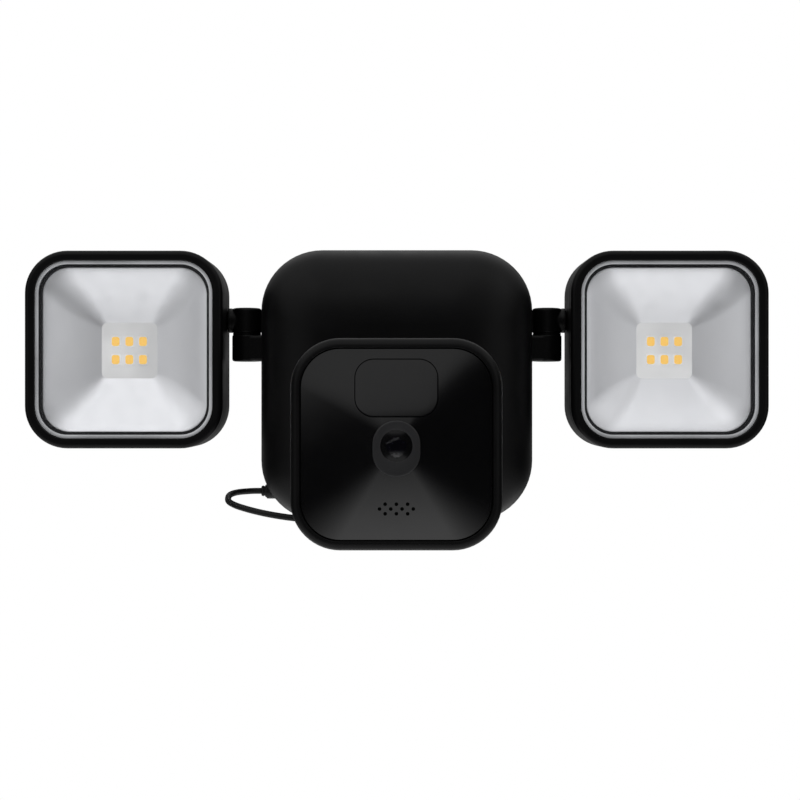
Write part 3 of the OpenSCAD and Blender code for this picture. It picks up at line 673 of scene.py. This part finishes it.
def make_bezel(side, centre, half):
    """Frame round the lens: rounded outside, with a crisp inner lip over a pocket for the lens."""
    low, high = box_mm(f"{side}_bezel")
    front, back = -low.y, -high.y
    lip, pocket = 3.85, 2.55
    opening, opening_r = half - lip, LAMP_R - lip
    levels = [(back + 0.12, half - 0.25, LAMP_R - 0.25), (back + 0.35, half, LAMP_R)]
    levels += edge_levels(front, half, LAMP_R, 1.9, 1, steps=7)
    levels += [(front - 0.02, opening + 0.35, opening_r + 0.35),
               (front - 0.25, opening + 0.06, opening_r + 0.06), (front - 0.6, opening, opening_r),
               (front - 1.5, opening, opening_r), (front - 1.5, half - pocket, LAMP_R - 2.6),
               (back + 0.12, half - pocket, LAMP_R - 2.6)]
    points, faces = skin(square_rings(centre, levels), closed=True)
    new_piece(f"{side}_bezel_ring", points, faces, f"{side}_lamp", "matte_black",
              (f"{side}_bezel",))


def make_lens(side, centre):
    """Clear pane, and a light grey bead just inside the bezel whose colour is a painted glint in
    place of the pane's bright refracted edge.
    """
    low, high = box_mm(f"{side}_lens")
    half, r = (high.x - low.x) / 2, 13.3
    front, back = -low.y, -high.y + 0.06
    levels = [(back, half - 4, r - 4), (back, half - 0.2, r - 0.2), (back + 0.2, half, r),
              (front - 0.3, half, r), (front, half - 0.3, r - 0.3), (front, half - 4, r - 4)]
    points, faces = skin(square_rings(centre, levels))
    new_piece(f"{side}_lens_pane", points, faces, f"{side}_lamp", "clear_lens", (f"{side}_lens",))

    # Bead whose light grey finish paints the glint of the pane's edge just inside the bezel
    bead_half, bead_r = 33.6, 12.35
    bead = [(0, 0.02), (0.15, 0.22), (0.6, 0.32), (1.1, 0.24), (1.4, 0.1), (1.5, 0.02)]
    levels = [(front + height, bead_half - inset, bead_r - inset) for inset, height in bead]
    points, faces = skin(square_rings(centre, levels), closed=True)
    new_piece(f"{side}_lens_bead", points, faces, f"{side}_lamp", "clear_lens", (), 40,
              finish="painted_edge_glint")


def make_reflector(side, centre):
    """Four satin walls that meet in soft valleys round a square window, with a flat flange."""
    low, high = box_mm(f"{side}_reflector")
    front, half = -low.y, (high.x - low.x) / 2
    window_far = -box_mm(f"{side}_led_board")[0].y
    opening, opening_r = 30.6, 10.1
    window, window_r = 10.7, 2.2
    bulge, steps = 0.05, 12
    levels = [(front - 1.3, half, 13), (front - 1.0, half, 13), (front - 0.08, opening + 1.8, 11.7),
              (front - 0.05, opening + 0.5, 10.4), (front - 0.2, opening, opening_r)]
    for k in range(1, steps + 1):
        t = k / steps
        dish = t + bulge * math.sin(math.pi * t)
        levels.append((front - (front - window_far) * dish if k < steps else window_far,
                       opening + (window - opening) * t,
                       opening_r + (window_r - opening_r) * t ** 1.8))
    levels.append((window_far - 0.4, window, window_r))
    points, faces = skin(square_rings(centre, levels), caps=(False, False))
    piece = new_piece(f"{side}_reflector_dish", points, faces, f"{side}_lamp", "reflector",
                      (f"{side}_reflector",), 28, weighted=False)
    sheet = piece.modifiers.new("thickness", "SOLIDIFY")
    sheet.thickness = 0.7 * MM
    sheet.offset = -1
    weight_normals(piece)


def make_leds(side, centre):
    """Board with a raised face, and six LED packages with domed phosphor."""
    low, high = box_mm(f"{side}_led_board")
    far, half = -low.y, (high.x - low.x) / 2
    levels = [(-high.y, half, 2), (far - 0.15, half, 2), (far, half - 0.15, 1.9), (far, 10, 1.5)]
    points, faces = skin(square_rings(centre, levels))
    new_piece(f"{side}_led_plate", points, faces, f"{side}_lamp", "led_plate",
              (f"{side}_led_board",))

    pitch_x, pitch_z = 5.25, 6.95
    places = [(centre.x + i * pitch_x, centre.z + j * pitch_z)
              for i in (-1, 0, 1) for j in (-0.5, 0.5)]

    def at_each_place(shape):
        """Height over the board, half width, half height and corner radius of each ring."""
        return merged(
            skin([rectangle(x, -(far + up), z, w, h, r, 5) for up, w, h, r in shape])
            for x, z in places
        )

    package = ((0, 1.7, 1.95, 0.35), (0.5, 1.7, 1.95, 0.35), (0.62, 1.6, 1.85, 0.3))
    phosphor = ((0.3, 1.5, 1.75, 0.9), (0.63, 1.5, 1.75, 0.9), (0.69, 1.1, 1.35, 0.7),
                (0.7, 0.6, 0.8, 0.4))
    new_piece(f"{side}_led_packages", *at_each_place(package), f"{side}_lamp", "led_plate")
    new_piece(f"{side}_led_phosphor", *at_each_place(phosphor), f"{side}_lamp", "led",
              (f"{side}_leds",))


def make_lamp(side):
    low, high = box_mm(f"{side}_housing")
    centre, half = middle(f"{side}_housing"), (high.x - low.x) / 2
    make_housing(side, centre, half)
    make_bezel(side, centre, half)
    make_lens(side, centre)
    make_reflector(side, centre)
    make_leds(side, centre)


# ------------------------------------------------------------------ camera

CAMERA_R = 16.7
FASCIA_HALF = 32.15
FASCIA_R = 13.35
FASCIA_EDGE = 128.7  # distance of the fascia's outline from the wall
FASCIA_RISE = 1.15
FASCIA_FLAT = 0.35  # inset where the rounded edge ends and the facets start
CAM_Z = middle("camera_fascia").z
LENS_Z = middle("lens_glass").z


def gauge(x, z):
    """How far out a point lies on the fascia: 0 at its middle and 1 on its outline."""
    c = FASCIA_HALF - FASCIA_R
    x, z = abs(x), abs(z)
    t = max(x, z) / FASCIA_HALF
    if min(x, z) <= c * t:
        return t
    a = 2 * c * c - FASCIA_R ** 2
    b = -2 * c * (x + z)
    return (-b - math.sqrt(max(b * b - 4 * a * (x * x + z * z), 0))) / (2 * a)


def fascia_far(x, z):
    """Distance from the wall of the fascia's face, which rises to the lens in shallow facets."""
    return FASCIA_EDGE + FASCIA_RISE * (1 - min(gauge(x, z - CAM_Z), 1))


def make_camera_body(centre, half, front, seam):
    """Front casing, with a rounded rim round the fascia."""
    lip, lip_r = FASCIA_HALF + 0.12, FASCIA_R + 0.12
    levels = [(seam + 0.12, half - 2.2, CAMERA_R - 2.2), (seam + 0.12, half - 0.3, CAMERA_R - 0.3),
              (seam + 0.35, half - 0.05, CAMERA_R - 0.05), (seam + 0.6, half, CAMERA_R)]
    levels += edge_levels(front, half, CAMERA_R, 2.9, 1, steps=10)
    levels += [(front - 0.05, lip + 0.18, lip_r + 0.18), (front - 0.3, lip, lip_r),
               (FASCIA_EDGE - 0.9, lip, lip_r), (FASCIA_EDGE - 0.9, lip - 3, FASCIA_R - 2.9)]
    points, faces = skin(square_rings(centre, levels), caps=(False, True))
    new_piece("camera_body_skin", points, faces, "camera", "matte_black", ("camera_body",))


def make_camera_back(centre, half, back_y, seam):
    """Rear casing, with places for the stem, the screw and the plug."""
    back = -back_y
    levels = [(back, half - 12, 6), (back, half - 8, 9)]
    levels += edge_levels(back, half, CAMERA_R, 6.5, -1, steps=10, depth=5.6)
    levels += [(seam - 0.35, half - 0.05, CAMERA_R - 0.05),
               (seam - 0.12, half - 0.3, CAMERA_R - 0.3),
               (seam - 0.12, half - 2.2, CAMERA_R - 2.2), (back + 2.2, half - 5.5, CAMERA_R - 5.5)]
    points, faces = skin(square_rings(centre, levels))
    piece = new_piece("camera_back_skin", points, faces, "camera", "matte_black",
                      ("camera_back",))
    port = middle("usb_plug")
    cut(piece, [
        drill(middle("mount_ball"), "Y", [(back_y + 1, 8.95), (back_y - 1.7, 8.9)]),
        drill(middle("back_screw"), "Y", [(back_y + 1, 2.8), (back_y - 1.3, 2.7)], 40),
        skin([rectangle(port.x, y, port.z, 5.2, 2.4, 1.2, 6) for y in (back_y + 1, back_y - 1.5)]),
    ])


def make_camera_shell():
    low, high = box_mm("camera_body")
    centre, half = (0, 0, CAM_Z), (high.x - low.x) / 2
    make_camera_body(centre, half, -low.y, -high.y)
    make_camera_back(centre, half, box_mm("camera_back")[1].y, -high.y)


def make_fascia():
    """Glossy face with four shallow facets, holes for the speaker, and a cut-out for the window."""
    steps = 16
    levels = [(FASCIA_EDGE - drop, FASCIA_HALF - inset, FASCIA_R - inset)
              for inset, drop in ((0.1, 0.8), (0.02, 0.35), (0.12, 0.12), (FASCIA_FLAT, 0.0))]
    rings = square_rings((0, 0, CAM_Z), levels)
    face = outline(FASCIA_HALF - FASCIA_FLAT, FASCIA_HALF - FASCIA_FLAT, FASCIA_R - FASCIA_FLAT)
    for k in range(1, steps):
        t = 1 - k / steps
        y = -(FASCIA_EDGE + FASCIA_RISE * (1 - t))
        rings.append([(px * t, y, CAM_Z + pz * t) for px, pz in face])
    points, faces = skin(rings)
    piece = new_piece("camera_fascia_face", points, faces, "camera", "gloss_black",
                      ("camera_fascia",), 20)

    hole_r, pitch_x, pitch_z = 0.62, 3.75, 1.6
    speaker_z = middle("speaker").z
    shapes = [
        drill(((i - (n - 1) / 2) * pitch_x, 0, speaker_z + row * pitch_z), "Y",
              [(-126, hole_r), (-131, hole_r)], 20)
        for row, n in ((-1, 3), (0, 4), (1, 3)) for i in range(n)
    ]
    window = middle("pir_window")
    low, high = box_mm("pir_window")
    half_w, half_h, gap = (high.x - low.x) / 2, (high.z - low.z) / 2, 0.16
    shapes.append(skin([rectangle(window.x, y, window.z, half_w + gap, half_h + gap, 6.5)
                        for y in (-127, -131)]))
    cut(piece, shapes, 20)

    # The pane lies 0.1 mm below the facet that it is in
    rings = []
    for inset, drop in ((0, 1.0), (0, 0.26), (0.14, 0.12), (0.4, 0.1), (3, 0.1), (6, 0.1),
                        (9, 0.1)):
        rings.append([
            (window.x + px, -(fascia_far(0, window.z + pz) - drop), window.z + pz)
            for px, pz in outline(half_w - inset, half_h - inset, max(6.35 - inset, 0.5))
        ])
    points, faces = skin(rings)
    new_piece("pir_window_pane", points, faces, "camera", "gloss_black", ("pir_window",), 20)


def make_lens_surround():
    """Raised plate round the lens: straight-sided outside, and round inside."""
    n = 72
    angles = [2 * math.pi * (k + 0.5) / n for k in range(n)]
    top, bottom = CAM_Z, CAM_Z - 2.8

    def stadium(r, far):
        return [(r * math.cos(a), -far, (top if math.sin(a) > 0 else bottom) + r * math.sin(a))
                for a in angles]

    def circle(r, far):
        return [(r * math.cos(a), -far, LENS_Z + r * math.sin(a)) for a in angles]

    def between(a, b, t, far):
        return [(p[0] * (1 - t) + q[0] * t, -far, p[2] * (1 - t) + q[2] * t)
                for p, q in zip(a, b)]

    outer, inner = stadium(7.4, 0), circle(5.45, 0)
    rings = [stadium(8, 129.0), stadium(8, 129.7), stadium(7.93, 129.95), stadium(7.75, 130.1),
             stadium(7.4, 130.17), between(outer, inner, 0.35, 130.15),
             between(outer, inner, 0.75, 130.0), circle(5.45, 129.8), circle(5.35, 129.6),
             circle(5.35, 127.5)]
    points, faces = skin(rings, caps=(False, False))
    new_piece("lens_surround_plate", points, faces, "camera", "dark_plastic",
              ("lens_surround",), 40)


def make_lens_group():
    """Surround, stepped barrel rings, an inner element and the front glass."""
    make_lens_surround()
    centre = (0, 0, LENS_Z)
    steps = [(129.3, 5.3), (129.3, 4.6), (129.0, 4.5), (128.95, 3.9), (128.6, 3.8), (128.55, 3.1),
             (128.1, 2.9), (128.05, 2.3), (127.6, 2.2), (127.6, TINY)]
    points, faces = skin(lathe_rings(centre, "Y", [(-far, r) for far, r in steps]),
                         caps=(False, False))
    new_piece("lens_rings", points, faces, "camera", "dark_plastic", (), 25)
    points, faces = skin(lathe_rings(centre, "Y", half_round(-128.05, -0.75, 2.25)))
    new_piece("lens_element", points, faces, "camera", "gloss_black", (), 60)
    points, faces = skin(lathe_rings(centre, "Y", half_round(-129.35, -0.5, 5.3, step=6)),
                         caps=(False, False))
    new_piece("lens_front_glass", points, faces, "camera", "lens_glass", ("lens_glass",), 60)


# ------------------------------------------------------------------ CAD nodes that stay


def dress_cad_nodes():
    """Every CAD node that still shows gets its slot's material, and the big ones soft edges."""
    slots = {s["node"]: s["material_slot"] for s in frame["record"]["subparts"]}
    slots["friction_washers"] = "matte_black"
    for name, obj in frame["nodes"].items():
        obj.data.materials.clear()
        obj.data.materials.append(MATERIALS[slots[name]])
    for name in ("wall_plate", "rear_cover"):
        edge = frame["nodes"][name].modifiers.new("soft_edges", "BEVEL")
        edge.width = 0.35 * MM
        edge.segments = 2
        edge.limit_method = "ANGLE"
        edge.angle_limit = math.radians(50)


# ------------------------------------------------------------------ stage and lights


def add_stage():
    """Pale floor well below the object, bright enough to look as white as the surround."""
    z, size = -0.42, 0.62
    corners = [(-size, -size, z), (size, -size, z), (size, size, z), (-size, size, z)]
    mesh = bpy.data.meshes.new("floor")
    mesh.from_pydata(corners, [], [(0, 1, 2, 3)])
    floor = bpy.data.objects.new("floor", mesh)
    bpy.context.scene.collection.objects.link(floor)
    s = Surface("floor", (0.86, 0.86, 0.86), 0.8, Emission_Color=(1, 1, 1, 1),
                Emission_Strength=0.62)
    s.vary_color(s.noise(3, 2), (0.85, 0.85, 0.85), (0.88, 0.88, 0.88))
    floor.data.materials.append(s.material)


def add_world():
    """White where the camera looks past the object.

    The light on the object comes mostly from above and below, less from the sides, and hardly at
    all from behind the camera. Two cards in front are what the camera's glossy fascia mirrors.
    """
    world = bpy.data.worlds.new("studio")
    bpy.context.scene.world = world
    world.use_nodes = True
    tree = world.node_tree
    seen = tree.nodes["Background"]
    seen.inputs["Color"].default_value = (1, 1, 1, 1)
    seen.inputs["Strength"].default_value = 1.0
    where = node_of(tree, "ShaderNodeTexCoord")
    split = node_of(tree, "ShaderNodeSeparateXYZ")
    tree.links.new(where.outputs["Generated"], split.inputs["Vector"])
    across, deep, up = (split.outputs[axis] for axis in "XYZ")

    def ramp(source, start, end, low, high):
        return map_range(tree, source, start, end, low, high, interpolation_type="SMOOTHSTEP")

    def combine(operation, a, b=None):
        node = node_of(tree, "ShaderNodeMath", operation=operation)
        tree.links.new(a, node.inputs[0])
        if b is not None:
            tree.links.new(b, node.inputs[1])
        return node.outputs["Value"]

    def band(source, rise, fall, strength):
        """Light between two soft edges: one along the source, and one along Z."""
        return combine("SUBTRACT", ramp(source, *rise, 0.0, strength),
                       ramp(up, *fall, 0.0, strength))

    sideways = combine("ABSOLUTE", across)
    above = ramp(up, 0.2, 0.8, 0.0, 1.08)
    below = ramp(up, -0.3, -0.7, 0.0, 0.3)
    behind = ramp(deep, 0.2, 0.9, 0.0, 0.3)
    facing = ramp(deep, 0.1, -0.3, 0.0, 1.0)

    corners = combine("SUBTRACT", ramp(sideways, 0.4, 0.7, 0.0, 1.0),
                      ramp(sideways, 0.82, 0.96, 0.0, 0.8))
    corners = combine("MULTIPLY", facing, corners)
    corners = combine("MULTIPLY", corners, ramp(up, -0.3, 0.2, 0.65, 1.1))

    slope = node_of(tree, "ShaderNodeMath", operation="MULTIPLY_ADD")
    slope.inputs[1].default_value = -0.36
    tree.links.new(across, slope.inputs[0])
    tree.links.new(up, slope.inputs[2])
    card = band(slope.outputs["Value"], (0.038, 0.062), (0.16, 0.3), 0.66)
    glow = combine("MULTIPLY", band(up, (-0.08, -0.18), (-0.22, -0.36), 1.5),
                   ramp(sideways, 0.02, 0.13, 1.1, 0.35))
    narrow = combine("MULTIPLY", facing, ramp(sideways, 0.12, 0.3, 1.0, 0.0))
    cards = combine("MULTIPLY", narrow, combine("ADD", card, glow))

    total = above
    for part in (below, corners, behind, cards):
        total = combine("ADD", total, part)
    lit = node_of(tree, "ShaderNodeBackground")
    tree.links.new(total, lit.inputs["Strength"])
    path = node_of(tree, "ShaderNodeLightPath")
    mix = node_of(tree, "ShaderNodeMixShader")
    tree.links.new(path.outputs["Is Camera Ray"], mix.inputs["Fac"])
    tree.links.new(lit.outputs["Background"], mix.inputs[1])
    tree.links.new(seen.outputs["Background"], mix.inputs[2])
    tree.links.new(mix.outputs["Shader"], tree.nodes["World Output"].inputs["Surface"])


def add_light(name, place, size, watts, target=(0, -0.05, 0)):
    """A rectangular light that faces the object."""
    data = bpy.data.lights.new(name, "AREA")
    data.shape = "RECTANGLE"
    data.size, data.size_y = size
    data.energy = watts
    light = bpy.data.objects.new(name, data)
    light.location = place
    light.rotation_euler = (Vector(target) - Vector(place)).to_track_quat("-Z", "Y").to_euler()
    bpy.context.scene.collection.objects.link(light)


bpy.context.scene.view_settings.view_transform = "Standard"
make_hub()
make_ball_mount()
for side_name, sign in SIDES.items():
    make_arm(side_name, sign)
    make_lamp(side_name)
make_camera_shell()
make_fascia()
make_lens_group()
dress_cad_nodes()
add_stage()
add_world()
add_light("overhead", (-0.1, -0.35, 0.9), (1.2, 0.5), 0.8)
add_light("key", (-0.3, -0.95, 0.8), (0.9, 0.5), 1.2)
